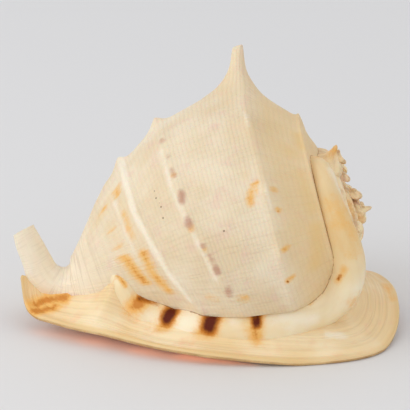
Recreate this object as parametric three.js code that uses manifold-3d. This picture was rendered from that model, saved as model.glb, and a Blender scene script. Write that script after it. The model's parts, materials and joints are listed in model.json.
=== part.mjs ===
// Horned helmet shell, grown in one piece and resting on its mouth. Millimetres, +Z up.
// The spire points to +X, the siphon canal curls up at -X, the inner shield spreads to -Y and the outer lip to +Y.
import * as THREE from "three";
import { LoftGeometry } from "three/addons/geometries/LoftGeometry.js";
import { mergeVertices } from "three/addons/utils/BufferGeometryUtils.js";
import Module from "manifold-3d";

const wasm = await Module();
wasm.setup();

// ---- driving dimensions ----
const apex = new THREE.Vector3(100.5, 0, 71.3); // tip of the spire
const axisTilt = 15.5; // degrees that the coiling axis rises towards the spire
const fullTurn = 360;
const topAngle = 377; // coil angle on the crown, counted in the way the shell grew
const bendStart = -177; // where the straight axis ends and the canal's bend begins, along the axis from the apex
const bendRadius = 26;
const bendAngle = 80;
const canalTip = -234;
const whorlGain = 2; // a turn makes the whorl this many times wider
const lateGain = 1.6; // and this many past the crown, where growth slows
const wall = 6;
const stepHeight = 1.6; // the last growth stage starts on top of the old lip, this much proud of it
const bodyFloor = 6; // underside of the coil, above the table
const ringOld = 8; // samples round the coil before the old lip, and after it
const ringNew = 26;
const stations = 30;

// Half profile of the last whorl at the crown: place along the axis from the apex, and radius.
const profile = new THREE.SplineCurve([
  [-25, 0.5], [-25.5, 30], [-25.5, 56], [-27, 64.5], [-40, 76], [-47, 80], [-54, 82.5], [-62, 85], [-72, 87],
  [-84, 87.5], [-98, 85.5], [-112, 80.8], [-125, 74.4], [-138, 65], [-149, 57.5], [-160, 47], [-169, 36],
  [-177, 26], [-185, 17.5], [-195, 11.8], [-206, 11], [-218, 10], [canalTip, 7.6],
].map(([x, r]) => new THREE.Vector2(x, r)));

const degree = Math.PI / 180;
const axis = new THREE.Vector3(Math.cos(axisTilt * degree), 0, Math.sin(axisTilt * degree));
const axisUp = new THREE.Vector3(-axis.z, 0, axis.x);
const smoothstep = (t) => THREE.MathUtils.smoothstep(t, 0, 1);
const smoothFloor = (z, floor, soft = 3) => floor + soft * Math.log1p(Math.exp((z - floor) / soft));

// Centre line of the coil and its upward normal: straight along the axis, then a bend up, then straight to the tip.
function spine(x) {
  const past = Math.max(0, bendStart - x);
  const turned = Math.min(past / bendRadius, bendAngle * degree);
  const run = past - turned * bendRadius;
  const centre = apex.clone().addScaledVector(axis, Math.max(x, bendStart));
  centre.addScaledVector(axis, -bendRadius * Math.sin(turned)).addScaledVector(axisUp, bendRadius * (1 - Math.cos(turned)));
  const heading = axis.clone().multiplyScalar(-Math.cos(turned)).addScaledVector(axisUp, Math.sin(turned));
  const up = axisUp.clone().multiplyScalar(Math.cos(turned)).addScaledVector(axis, Math.sin(turned));
  return { centre: centre.addScaledVector(heading, run), up, heading };
}

// Size of the whorl at a coil angle, as a share of its size at the crown.
function growth(angle) {
  if (angle > topAngle) return lateGain ** ((angle - topAngle) / fullTurn);
  const oldLip = 235, inside = 110, smallest = 0.42;
  if (angle > oldLip) return whorlGain ** ((angle - topAngle) / fullTurn);
  const atLip = whorlGain ** ((oldLip - topAngle) / fullTurn);
  return THREE.MathUtils.lerp(smallest, atLip, smoothstep((angle - inside) / (oldLip - inside)));
}

// Growth fades out along the canal, whose tube doesn't coil.
const coiling = (x) => smoothstep((x + 184) / 34);
const stretchFrom = -55; // the whorl lengthens towards the canal from here as it grows

// A point of the coil: place along the profile, radius there, coil angle.
function coilPoint(x, r, angle, extra = 0) {
  const grown = 1 + (growth(angle) - 1) * coiling(x);
  const along = x + (grown - 1) * Math.min(x - stretchFrom, 0);
  return axisPoint(along, grown * r + extra, angle);
}

function axisPoint(along, r, angle) {
  const { centre, up } = spine(along);
  const p = centre.clone().addScaledVector(up, r * Math.cos(angle * degree));
  p.y += r * Math.sin(angle * degree);
  return p;
}

// Coil angle of the old lip's line, which the last growth stage starts from.
const oldLipLine = new THREE.SplineCurve([
  [-240, 300], [-178, 300], [-160, 297], [-155, 279], [-147, 267], [-126, 256], [-98, 252], [-76, 249],
  [-48, 243], [-35, 243], [-20, 250],
].map(([x, a]) => new THREE.Vector2(x, a)));
function oldLipAngle(x) {
  const line = oldLipLine.points;
  const i = Math.min(line.findIndex((p) => p.x > x), line.length - 1);
  return THREE.MathUtils.mapLinear(x, line[i - 1].x, line[i].x, line[i - 1].y, line[i].y);
}

// Coil angle at which the last stage comes down to the mouth's plane.
function mouthAngle(x, r) {
  const drop = (9 - spine(x).centre.z) / (1.15 * r * axis.x);
  return fullTurn + Math.acos(THREE.MathUtils.clamp(drop, -0.87, -0.2)) / degree;
}

function bodyRing(x, r) {
  const lip = oldLipAngle(x);
  const mouth = mouthAngle(x, r);
  const angles = [];
  for (let i = 0; i < ringOld; i++) angles.push(THREE.MathUtils.lerp(mouth - fullTurn + 3, lip - 0.6, i / (ringOld - 1)));
  for (let i = 0; i < ringNew; i++) angles.push(THREE.MathUtils.lerp(lip, mouth - 3, i / (ringNew - 1)));
  return angles.map((angle, i) => {
    const step = i < ringOld ? 0 : stepHeight * coiling(x) * Math.exp((lip - angle) / 25) * smoothstep(r / 50);
    const p = coilPoint(x, r, angle, step);
    if (x > bendStart) p.z = smoothFloor(p.z, bodyFloor);
    return p;
  });
}

function bodyLoft() {
  const rings = profile.getPoints(stations).map((p) => bodyRing(p.x, p.y));
  return new LoftGeometry(rings, { capStart: true, capEnd: true });
}

// ---- helpers for solids ----
function solid(geometry) {
  const bare = new THREE.BufferGeometry().copy(geometry).deleteAttribute("normal").deleteAttribute("uv");
  const merged = mergeVertices(bare, 1e-3);
  const mesh = new wasm.Mesh({
    numProp: 3,
    vertProperties: merged.attributes.position.array,
    triVerts: new Uint32Array(merged.index.array),
  });
  const made = new wasm.Manifold(mesh);
  if (made.volume() > 0) return made;
  mesh.triVerts = mesh.triVerts.map((_, i, all) => all[i - (i % 3) + 2 - (i % 3)]);
  return new wasm.Manifold(mesh);
}

// A round tube along points that each have a place and a radius.
function tube(points, radii, steps, sides) {
  const path = new THREE.CatmullRomCurve3(points);
  const width = new THREE.SplineCurve(radii.map((r, i) => new THREE.Vector2(i / (radii.length - 1), r)));
  const frames = path.computeFrenetFrames(steps, false);
  const rings = [];
  for (let i = 0; i <= steps; i++) {
    const centre = path.getPointAt(i / steps);
    const u = path.getUtoTmapping(i / steps);
    const r = width.getPoint(u).y;
    const ring = [];
    for (let j = 0; j < sides; j++) {
      const turn = (2 * Math.PI * j) / sides;
      ring.push(centre.clone()
        .addScaledVector(frames.normals[i], r * Math.cos(turn))
        .addScaledVector(frames.binormals[i], r * Math.sin(turn)));
    }
    rings.push(ring);
  }
  return new LoftGeometry(rings, { capStart: true, capEnd: true });
}

const vectors = (list) => list.map(([x, y, z]) => new THREE.Vector3(x, y, z));

// ---- old lip: the thick roll that the last stage grew from, and its limb up beside the spire ----
const oldLipPath = [
  // along the axis, radius, coil angle, thickness
  [-157, 29, 301, 3], [-152.5, 36, 292, 6], [-149, 41, 281, 8.5], [-143, 45, 267, 10.5], [-132.5, 51, 255.5, 11.5],
  [-114, 60, 247.5, 12], [-92, 65, 242, 12], [-70, 65, 238, 12], [-54, 62, 233.5, 12], [-39, 57, 232.5, 11.5],
  [-29, 52, 239.5, 11], [-23, 47.5, 251, 10], [-21, 45.5, 271, 8.5], [-19.2, 46, 301, 7.5], [-19.5, 47, 324, 7],
  [-20.8, 48, 340, 5],
];
function oldLip() {
  return tube(oldLipPath.map(([x, r, a]) => axisPoint(x, r, a)), oldLipPath.map((p) => p[3]), 28, 9);
}

// ---- spire: a nearly flat coil of older whorls ----
function spire() {
  const rings = [], sides = 10, firstAngle = -520, lastAngle = 500, stepAngle = 30;
  for (let angle = firstAngle; angle <= lastAngle; angle += stepAngle) {
    const reach = 44 * whorlGain ** ((angle - topAngle) / fullTurn);
    const thick = reach * 0.36;
    const top = -11.5 + 8 * Math.exp(-reach / 7);
    const ring = [];
    for (let j = sides; j > 0; j--) {
      const turn = (2 * Math.PI * j) / sides;
      ring.push(axisPoint(top - thick + thick * Math.cos(turn), reach - thick + thick * Math.sin(turn), angle));
    }
    rings.push(ring);
  }
  return new LoftGeometry(rings, { capStart: true, capEnd: true });
}

// ---- horns and knobs: blunt spikes with hollow sides ----
const knobs = [
  // along the axis, radius at the foot, coil angle, height, foot radius, tip radius, lean towards the spire
  [-63, 78, 377.4, 36, 27, 2.4, 14.5],
  [-58, 73, 345, 10, 18, 4, 5],
  [-57, 67, 311, 9, 16, 4, 5],
  [-57, 79, 412, 22, 20, 3, 10],
  [-56, 87, 445, 12, 16, 3, 5],
  [-112, 73, 377, 10, 15, 3, 0],
  [-112, 73, 404, 10, 15, 3, 0],
  [-138.5, 58, 377, 9, 13, 3, 0],
  [-14, 36, 354, 9, 6, 1, 25],
  [-13, 33, 400, 7, 5, 1, 25],
  [-9, 0.5, 0, 9, 6, 1.2, 90],
];
function knob([x, r, angle, height, foot, tip, lean]) {
  const outline = [new THREE.Vector2(0, -4)];
  const steps = 5;
  for (let i = 0; i <= steps; i++) {
    const up = i / steps;
    outline.push(new THREE.Vector2(tip + (foot - tip) * (1 - up) ** 2.15, up * height));
  }
  outline.push(new THREE.Vector2(0, height + tip * 0.3));
  const shape = new THREE.LatheGeometry(outline, 8);
  const base = axisPoint(x, r, angle);
  const outward = axisPoint(x, r + 1, angle).sub(base);
  const way = outward.multiplyScalar(Math.cos(lean * degree)).addScaledVector(axis, Math.sin(lean * degree)).normalize();
  const turn = new THREE.Quaternion().setFromUnitVectors(new THREE.Vector3(0, 1, 0), way);
  return shape.applyQuaternion(turn).translate(base.x, base.y, base.z);
}

// ---- inner shield: a thin dished sheet from under the old lip out to its margin ----
const shieldMargin = vectors([
  [-111, -6, 31], [-108, -14, 17], [-102, -24, 11.5], [-87, -36, 10.8], [-62, -50, 10.1], [-32, -66, 8.6],
  [-3, -75, 6.5], [26, -78, 4.2], [55, -77, 1.8], [84, -70, 0.3], [102, -58, 0.6], [112, -38, 4.5],
  [116, -16, 11.6], [114, 12, 16.4], [104, 34, 17], [89, 47, 14],
]);
const shieldRoot = vectors([
  [-97, 0, 34], [-92, -3, 26], [-85, -6, 24], [-72, -12, 22], [-50, -28, 21], [-25, -48, 22], [0, -56, 22],
  [25, -58, 22], [48, -56, 24], [64, -46, 26], [73, -32, 30], [76, -18, 34], [76, 0, 36], [73, 16, 36],
  [66, 28, 32], [60, 36, 25],
]);
const shieldRail = vectors([
  [-105, 1, 30], [-98, 1, 20], [-86, 4, 14], [-70, 8, 10], [-45, 13, 8], [-20, 16, 7], [5, 18, 6.5], [28, 19, 6.5],
  [46, 20, 7], [58, 22, 8], [63, 24, 9], [65, 26, 10], [66, 28, 11], [66, 30, 12], [65, 32, 12], [63, 34, 12],
]);
const marginThickness = 3.6;
const shieldDish = 5;

function shield() {
  const curves = [shieldMargin, shieldRoot, shieldRail].map((points) => new THREE.CatmullRomCurve3(points));
  const rings = [], steps = 28, across = 5;
  for (let i = 0; i <= steps; i++) {
    const [margin, root, rail] = curves.map((c) => c.getPoint(i / steps));
    const outward = margin.clone().sub(rail).setZ(0).normalize();
    const half = marginThickness / 2;
    const top = margin.clone().setZ(margin.z + half);
    const bottom = margin.clone().setZ(margin.z - half);
    const dip = root.clone().lerp(top, 0.6);
    dip.z -= shieldDish;
    const upper = new THREE.QuadraticBezierCurve3(root, dip, top).getPoints(across);
    const arch = bottom.clone().lerp(rail, 0.5);
    arch.z += 3;
    const lower = new THREE.QuadraticBezierCurve3(bottom, arch, rail).getPoints(across);
    rings.push([...upper, margin.clone().addScaledVector(outward, half), ...lower]);
  }
  return new LoftGeometry(rings, { capStart: true, capEnd: true });
}

// ---- outer lip: a thick plate from the mouth's edge out to a rolled rim ----
const rimPath = vectors([
  [-106, 13, 33], [-99, 16, 23], [-85, 18, 14], [-68, 36, 10], [-50, 58, 9.5], [-25, 77, 9.5], [11, 90, 9.5],
  [38, 91, 9.5], [62, 85, 9.5], [78, 70, 9.5], [88, 54, 10], [84, 42, 13],
]);
const rimRadius = [4, 5, 7, 8.5, 9.5, 10, 10.5, 10.5, 10, 9.5, 8, 6];
const mouthEdge = vectors([
  [-101, 4, 31], [-94, 7, 19], [-84, 13, 12], [-66, 20, 8], [-48, 24, 6], [-22, 28, 5], [8, 31, 5], [30, 32, 5],
  [46, 33, 6], [57, 34, 7], [63, 35, 9], [66, 36, 12],
]);
const lipThickness = 10;

function outerLip() {
  const rim = new THREE.CatmullRomCurve3(rimPath);
  const edge = new THREE.CatmullRomCurve3(mouthEdge);
  const thickness = new THREE.SplineCurve(rimRadius.map((r, i) => new THREE.Vector2(i / (rimRadius.length - 1), r)));
  const rings = [], steps = 26, round = 6;
  for (let i = 0; i <= steps; i++) {
    const centre = rim.getPoint(i / steps);
    const inner = edge.getPoint(i / steps);
    const r = thickness.getPoint(i / steps).y;
    const outward = centre.clone().sub(inner).setZ(0).normalize();
    const ring = [inner.clone().setZ(inner.z + lipThickness), inner.clone().setZ(inner.z + 3), inner.clone().addScaledVector(outward, 3)];
    for (let j = 0; j <= round; j++) {
      const turn = (-90 + (240 * j) / round) * degree;
      const p = centre.clone().addScaledVector(outward, r * Math.cos(turn));
      p.z += r * Math.sin(turn);
      ring.push(p);
    }
    rings.push(ring);
  }
  return new LoftGeometry(rings, { capStart: true, capEnd: true });
}

// ---- the hollow: the rooms that the coil encloses, and the long narrow mouth into the last ----
const roomFloor = 16;
const coilSize = (angle) => (angle > topAngle ? lateGain : whorlGain) ** ((angle - topAngle) / fullTurn);
function room(firstAngle, lastAngle) {
  const rings = [], across = 9;
  const steps = Math.round((lastAngle - firstAngle) / 18);
  for (let i = 0; i <= steps; i++) {
    const angle = THREE.MathUtils.lerp(firstAngle, lastAngle, i / steps);
    const outer = [], inner = [];
    for (let j = 0; j <= across; j++) {
      const x = THREE.MathUtils.lerp(-36, -164, j / across);
      const r = profileRadius(x);
      const along = x + (coilSize(Math.min(angle, 470)) - 1) * Math.min(x - stretchFrom, 0);
      const reach = (roomFloor - spine(along).centre.z) / (Math.cos(angle * degree) * axis.x);
      const most = Math.min(coilSize(angle) * r - wall, reach > 0 ? reach : Infinity);
      const least = Math.min(coilSize(angle - fullTurn) * r + 2, most - 2);
      const round = Math.sqrt(1 - 0.9 * ((2 * j) / across - 1) ** 4);
      outer.push(axisPoint(along, (least + most) / 2 + ((most - least) / 2) * round, angle));
      inner.push(axisPoint(along, (least + most) / 2 - ((most - least) / 2) * round, angle));
    }
    rings.push([...inner, ...outer.reverse()]);
  }
  return new LoftGeometry(rings, { capStart: true, capEnd: true });
}

function profileRadius(x) {
  const points = profile.getPoints(80);
  const i = points.findIndex((p) => p.x < x);
  return THREE.MathUtils.mapLinear(x, points[i - 1].x, points[i].x, points[i - 1].y, points[i].y);
}

function mouthSlot() {
  const near = new THREE.CatmullRomCurve3(shieldRail.slice(0, 11));
  const far = new THREE.CatmullRomCurve3(mouthEdge.slice(0, 11));
  const rings = [], steps = 24;
  for (let i = 0; i <= steps; i++) {
    const a = near.getPoint(i / steps);
    const b = far.getPoint(i / steps);
    const high = 16 + 0.35 * Math.max(0, a.z - 8);
    rings.push([[a, -8], [b, -8], [b, high], [a, high]].map(([p, up]) => p.clone().setZ(p.z + up)));
  }
  return new LoftGeometry(rings, { capStart: true, capEnd: true });
}

// The canal is a gutter, open along its lower side.
function canalGroove() {
  const places = [-183, -195, -206, -218, -228, -240];
  const points = places.map((x) => {
    const { centre, up } = spine(x);
    return centre.addScaledVector(up, -5);
  });
  return tube(points, [7, 7, 6.4, 5.6, 5, 4.6], 14, 10);
}

// ---- teeth: blunt beads along the outer lip's edge, long folds along the shield's ----
function mouthTeeth() {
  const teeth = [];
  const bead = (p, length, width, height) => {
    const shape = new THREE.SphereGeometry(1, 6, 4).scale(width, length, height);
    return shape.translate(p.x, p.y, p.z);
  };
  const far = new THREE.CatmullRomCurve3(mouthEdge);
  const near = new THREE.CatmullRomCurve3(shieldRail);
  for (let i = 0; i < 7; i++) teeth.push(bead(far.getPoint(0.3 + i * 0.075), 5.5, 3.2, 4));
  for (let i = 0; i < 8; i++) teeth.push(bead(near.getPoint(0.16 + i * 0.045), 7, 1.8, 3));
  return teeth;
}

function buildShell() {
  let made = solid(bodyLoft());
  for (const piece of [oldLip(), spire(), shield(), outerLip(), ...knobs.map(knob)]) made = made.add(solid(piece));
  for (const hollow of [room(236, 506), room(-70, 228), mouthSlot(), canalGroove()]) made = made.subtract(solid(hollow));
  for (const tooth of mouthTeeth()) made = made.add(solid(tooth));
  const below = new THREE.BoxGeometry(400, 400, 100).translate(0, 0, -50);
  made = made.subtract(solid(below));
  const biggest = made.decompose().sort((a, b) => b.volume() - a.volume())[0];
  const { vertProperties, triVerts } = biggest.getMesh();
  const geometry = new THREE.BufferGeometry()
    .setAttribute("position", new THREE.BufferAttribute(vertProperties, 3))
    .setIndex(new THREE.BufferAttribute(triVerts, 1));
  geometry.computeBoundingBox();
  const middle = geometry.boundingBox.getCenter(new THREE.Vector3());
  return geometry.translate(-middle.x, -middle.y, 0); // the origin lies under the middle of the shell, on the table
}

const shell = new THREE.Mesh(buildShell(), new THREE.MeshStandardMaterial({ color: 0xe6d4b6, roughness: 0.5, metalness: 0 }));
shell.name = "shell";
const part = new THREE.Group();
part.add(shell);
export default part;
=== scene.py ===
import bpy, bmesh, json, math
import numpy as np
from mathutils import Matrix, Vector, noise

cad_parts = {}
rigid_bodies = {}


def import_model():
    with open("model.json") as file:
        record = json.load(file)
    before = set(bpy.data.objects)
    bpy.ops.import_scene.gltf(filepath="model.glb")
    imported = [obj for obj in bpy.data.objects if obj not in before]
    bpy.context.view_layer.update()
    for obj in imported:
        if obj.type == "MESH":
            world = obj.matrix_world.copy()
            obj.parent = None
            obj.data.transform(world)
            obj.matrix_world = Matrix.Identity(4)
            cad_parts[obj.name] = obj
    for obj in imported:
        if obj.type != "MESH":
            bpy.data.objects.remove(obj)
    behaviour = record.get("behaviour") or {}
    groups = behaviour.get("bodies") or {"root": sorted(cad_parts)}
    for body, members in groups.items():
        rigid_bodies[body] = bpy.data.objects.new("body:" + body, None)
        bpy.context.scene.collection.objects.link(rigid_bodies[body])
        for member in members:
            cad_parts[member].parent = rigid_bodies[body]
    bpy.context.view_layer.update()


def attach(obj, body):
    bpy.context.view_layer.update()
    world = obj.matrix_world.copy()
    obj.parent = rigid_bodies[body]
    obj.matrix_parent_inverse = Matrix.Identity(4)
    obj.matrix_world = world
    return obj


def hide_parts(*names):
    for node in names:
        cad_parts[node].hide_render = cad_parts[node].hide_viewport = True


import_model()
mm = 0.001
noise.seed_set(7)  # without a seed the vector noise on the canal differs from run to run

# The shell is measured along its coiling axis: a place from the apex (negative towards the canal), a radius,
# and a coil angle in degrees that runs the way the shell grew. 0 and 360 are on top, 270 is on the near side.
coil = {
    "apex": Vector((99.17, -10.93, 71.3)),
    "tilt": math.radians(15.5),
    "crown": 377.0,
    "turnGain": 2.0,        # the whorl doubles in a turn
    "lateGain": 1.6,        # and grows slower past the crown
    "stretchFrom": -55.0,
    "bendStart": -184.2, "bendRadius": 20.0, "bendAngle": math.radians(83.5),
    "oldLip": 235.0, "innerAngle": 110.0, "innerSize": 0.42,
    "floor": 6.0, "floorBlend": 3.0,  # the whorl flattens softly a little above the floor
}
axis = Vector((math.cos(coil["tilt"]), 0, math.sin(coil["tilt"])))
axisUp = Vector((-axis.z, 0, axis.x))
side = Vector((0, 1, 0))


def clamp(t, low=0.0, high=1.0):
    return max(low, min(high, t))


def mix(a, b, t):
    return a + (b - a) * t


def smooth(t):
    t = clamp(t)
    return t * t * (3 - 2 * t)


def interpolate(table, x):
    # straight lines between the rows of a table sorted by its first column
    if x <= table[0][0]:
        return table[0][1]
    for (x0, y0), (x1, y1) in zip(table, table[1:]):
        if x <= x1:
            return mix(y0, y1, (x - x0) / (x1 - x0))
    return table[-1][1]


def along(points, place):
    # a smooth curve through evenly numbered points, at a place between 0 and the last number
    last = len(points) - 1
    place = clamp(place, 0, last - 1e-9)
    i = int(place)
    t = place - i
    p0, p1, p2, p3 = (points[clamp(i + k, 0, last)] for k in (-1, 0, 1, 2))
    return [
        0.5 * (2 * b + (c - a) * t + (2 * a - 5 * b + 4 * c - d) * t * t + (3 * b - a - 3 * c + d) * t ** 3)
        for a, b, c, d in zip(p0, p1, p2, p3)
    ]


def spine(x):
    past = max(0.0, coil["bendStart"] - x)
    turned = min(past / coil["bendRadius"], coil["bendAngle"])
    run = past - turned * coil["bendRadius"]
    centre = coil["apex"] + axis * max(x, coil["bendStart"])
    centre += coil["bendRadius"] * (axisUp * (1 - math.cos(turned)) - axis * math.sin(turned))
    heading = axisUp * math.sin(turned) - axis * math.cos(turned)
    return centre + heading * run, axisUp * math.cos(turned) + axis * math.sin(turned)


def axisPoint(x, radius, angle):
    centre, up = spine(x)
    turn = math.radians(angle)
    return centre + up * (radius * math.cos(turn)) + side * (radius * math.sin(turn))


def coilSize(angle):
    gain = coil["lateGain"] if angle > coil["crown"] else coil["turnGain"]
    return gain ** ((angle - coil["crown"]) / 360)


def growth(angle):
    if angle > coil["oldLip"]:
        return coilSize(angle)
    share = smooth((angle - coil["innerAngle"]) / (coil["oldLip"] - coil["innerAngle"]))
    return mix(coil["innerSize"], coilSize(coil["oldLip"]), share)


def coiling(x):
    return smooth((x + 184) / 34)  # growth fades out along the canal


def loft(name, rows, columns, place, chart):
    # a closed tube: the grid's rows are rings, its last column lies on its first
    bm = bmesh.new()
    bmesh.ops.create_grid(bm, x_segments=columns, y_segments=rows, size=0.5)
    growthMap = bm.loops.layers.uv.new("growth")
    for v in bm.verts:
        v.co.x = round((v.co.x + 0.5) * columns)
        v.co.y = round((v.co.y + 0.5) * rows)
    for v in bm.verts:
        v.index = int(v.co.y) * (columns + 1) + int(v.co.x)
    places, charts = {}, {}
    for v in bm.verts:
        i, j = int(v.co.y), int(v.co.x)
        places[v.index] = place(i / rows, (j % columns) / columns)
        charts[v.index] = chart(i / rows, j / columns)
    for face in bm.faces:
        for loop in face.loops:
            loop[growthMap].uv = charts[loop.vert.index]
        face.smooth = True
    for v in bm.verts:
        v.co = places[v.index] * mm
    bmesh.ops.remove_doubles(bm, verts=bm.verts, dist=1e-6)
    bmesh.ops.holes_fill(bm, edges=[e for e in bm.edges if e.is_boundary], sides=0)
    bmesh.ops.recalc_face_normals(bm, faces=bm.faces)
    mesh = bpy.data.meshes.new(name)
    bm.to_mesh(mesh)
    bm.free()
    piece = bpy.data.objects.new(name, mesh)
    bpy.context.scene.collection.objects.link(piece)
    return piece


def spread(counts):
    # places along a run of segments, with as many steps in each as its count says
    places = [i + k / n for i, n in enumerate(counts) for k in range(n)]
    return places + [len(counts)]


# the body whorl, its horn and knobs, and the canal
body = {
    # place along the axis and radius, on the crown, from the spire's middle out over the shoulder to the canal's tip
    "profile": [
        (-20.5, 0.5), (-21, 30), (-22.5, 43), (-26, 52), (-27.8, 60), (-28.2, 64.8), (-31.5, 65.8), (-40, 72.8),
        (-47, 78.4),
        (-54, 82.8), (-62, 85.3), (-72, 87), (-84, 87.3), (-98, 85.2), (-112, 80.4), (-125, 73.8), (-138, 64.4),
        (-149, 57), (-160, 47), (-169, 36), (-177, 26), (-184, 18.2), (-193, 12.2), (-204, 10.4), (-216, 9.6),
        (-227, 8.6), (-238.2, 7.6),
    ],
    "rows": [1, 2, 4, 6, 6, 5, 4, 9, 9, 11, 15, 13, 10, 10, 10, 10, 10, 9, 9, 8, 7, 7, 8, 7, 7, 5],
    "hidden": 22,            # columns that the old lip and the shield cover
    "columns": 190,
    "hornColumns": 34,       # of these, as many lie on the horn
    "hornHalf": 7.0,         # degrees to each side of the horn
    "hornShare": 0.555,      # share of the plain columns before the horn
    "stepHeight": 1.8, "stepRun": 25.0,
    "wallGap": 3.0,
    # slow waves: scale along the axis, scale round the coil, seed, height
    "waves": [(0.035, 0.05, 1.7, 0.8), (0.02, 0.28, 4.1, 0.30)],
}
oldLipLine = [
    (-240, 300), (-171, 300), (-166.5, 291), (-164.2, 277), (-162.7, 269), (-160.7, 265), (-158.3, 262),
    (-152, 254.8),
    (-141, 252.2), (-126, 251.5), (-98, 250.5), (-76, 249), (-48, 243), (-35, 243), (-20, 250),
]
horn = {
    "place": -60.6, "angle": 377.4, "lean": math.radians(15.5), "foot": 11.0, "reach": 60,
    # the slope round the foot: height, where it starts, width, and how fast it fades
    "web": 31.0, "webStart": 1.6, "webWide": 6.2, "webFade": 0.8,
    # it runs out farther towards the canal than towards the spire
    "canalSide": 0.9, "spireSide": 1.1, "spireMore": 0.3, "spireRun": 16,
    # distance from the middle and height, from the blunt tip down to the foot
    "side": [(0, 28.6), (2.2, 28.5), (3.3, 27.7), (3.5, 26.4), (3.7, 25.1), (4.05, 22.3), (4.5, 19.2), (5.3, 16.1),
             (6.5, 13.5), (8.4, 10.5), (11, 7.68)],
}
# place, coil angle, height, reach
knobs = [
    (-55.5, 340, 5.4, 6.4), (-54.5, 306, 6.4, 5.4), (-56, 279, 3.4, 6.0), (-58, 256, 1.4, 6),
    (-27.4, 377.4, 1.0, 2.4),
    (-57, 411, 15, 7.5), (-57, 444, 9, 7.5),
    (-113.6, 377.5, 5.2, 4.6), (-111, 351, 1.8, 6), (-110, 333, 1.3, 5), (-110.5, 319, 1.4, 5), (-111.5, 304, 1.2, 5),
    (-106, 291, 1.0, 5), (-102, 278.5, 0.8, 5), (-112, 402, 3.2, 7), (-112, 430, 2.4, 7),
    (-141, 377.5, 3.2, 5), (-140.5, 351, 1.3, 6), (-138, 403, 2.4, 7), (-138, 430, 1.8, 7),
    (-155, 377, 1.0, 6),
]
# cords that run round the whorl: place against coil angle, height, half width
cords = [
    ([(240, -60), (279, -56.5), (306, -54.5), (340, -55.5), (377, -58), (480, -57)], 3.8, 8.2),
    ([(250, -96), (266, -99), (278, -102.5), (291, -106), (304, -111), (377, -112), (480, -112)], 1.2, 4.6),
    ([(255, -126), (263, -130), (280, -137), (302, -141), (323, -143.5), (342, -142), (377, -141), (480, -139)], 2.6,
     4.0),
    ([(270, -147), (290, -150.5), (303, -153), (345, -153.5), (480, -152)], 0.8, 3.6),
    ([(278, -155.5), (290, -158), (304, -161), (347, -161.5), (480, -161)], 0.7, 3.0),
]


def oldLipAngle(x):
    return interpolate(oldLipLine, x)


def mouthAngle(x, radius):
    drop = (9 - spine(x)[0].z) / (1.15 * radius * axis.x)
    return 360 + math.degrees(math.acos(clamp(drop, -0.87, -0.2)))


def stepShare(x):
    return smooth((x + 172) / 14)  # towards the canal the new growth runs smoothly into the old


def ringAngles(x, radius):
    lip, mouth, gap = mix(240, oldLipAngle(x), stepShare(x)), mouthAngle(x, radius), body["wallGap"]
    angles = [mix(mouth - 360 + gap, lip - 0.5, k / (body["hidden"] - 1)) for k in range(body["hidden"])]
    start, end, half = lip, mouth - gap, body["hornHalf"]
    low = clamp(horn["angle"] - half, start + 20, end - 20)
    plain = body["columns"] - body["hornColumns"]
    before = round(plain * body["hornShare"])  # the same split on every ring keeps the columns straight
    angles += [mix(start, low, k / before) for k in range(before)]
    angles += [mix(low, low + 2 * half, k / body["hornColumns"]) for k in range(body["hornColumns"])]
    after = plain - before
    angles += [mix(low + 2 * half, end, k / (after - 1)) for k in range(after)]
    return angles


def relief(x, angle, radius):
    height = 0.0
    for line, tall, wide in cords:
        d = (x - interpolate(line, angle)) / wide
        if abs(d) < 3:
            height += tall * (math.exp(-math.sqrt(d * d + 0.05)) * 1.25 if wide > 8 else math.exp(-d * d))
    for place, knobAngle, tall, reach in knobs:
        dx = x - place
        ds = radius * math.radians(angle - knobAngle)
        d = math.hypot(dx, ds) / reach
        if d < 5:
            height += tall * math.exp(-((d * d + 0.04) ** 0.6 - 0.145))
    wave = 0.0
    for onward, around, seed, tall in body["waves"]:
        wave += noise.noise(Vector((x * onward, angle * around, seed))) * tall
    return height + wave


def hornShape(x, angle, radius):
    # how far a place on the crown moves in towards the horn's middle, and how far it rises
    dx = x - horn["place"]
    ds = radius * math.radians(angle - horn["angle"])
    squeeze = horn["canalSide"] if dx < 0 else horn["spireSide"] + horn["spireMore"] * smooth(dx / horn["spireRun"])
    d = math.hypot(dx * squeeze, ds)
    if d > horn["reach"]:
        return 0.0, 0.0, 0.0
    if d > horn["foot"]:
        return 0.0, 0.0, horn["web"] * math.exp(-(((d - horn["webStart"]) / horn["webWide"]) ** horn["webFade"]))
    near, lift = along(horn["side"], d / horn["foot"] * (len(horn["side"]) - 1))
    pull = near / max(d, 1e-6) - 1
    return dx * pull, ds * pull, lift


# the near side of the canal's end stands higher than the far side, and the wall wobbles a little
canalTip = {"from": -222.0, "slant": 1.9, "wobble": 0.35, "wobbleScale": 0.12}
rowPlaces = spread(body["rows"])
columnCount = body["hidden"] + body["columns"]
ringCache = {}


def bodyAt(v, u):
    row = round(v * (len(rowPlaces) - 1))
    column = round(u * columnCount) % columnCount
    if row not in ringCache:
        x, radius = along(body["profile"], rowPlaces[row])
        ringCache[row] = (x, radius, ringAngles(x, radius))
    x, radius, angles = ringCache[row]
    return x, radius, angles[column], column


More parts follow.
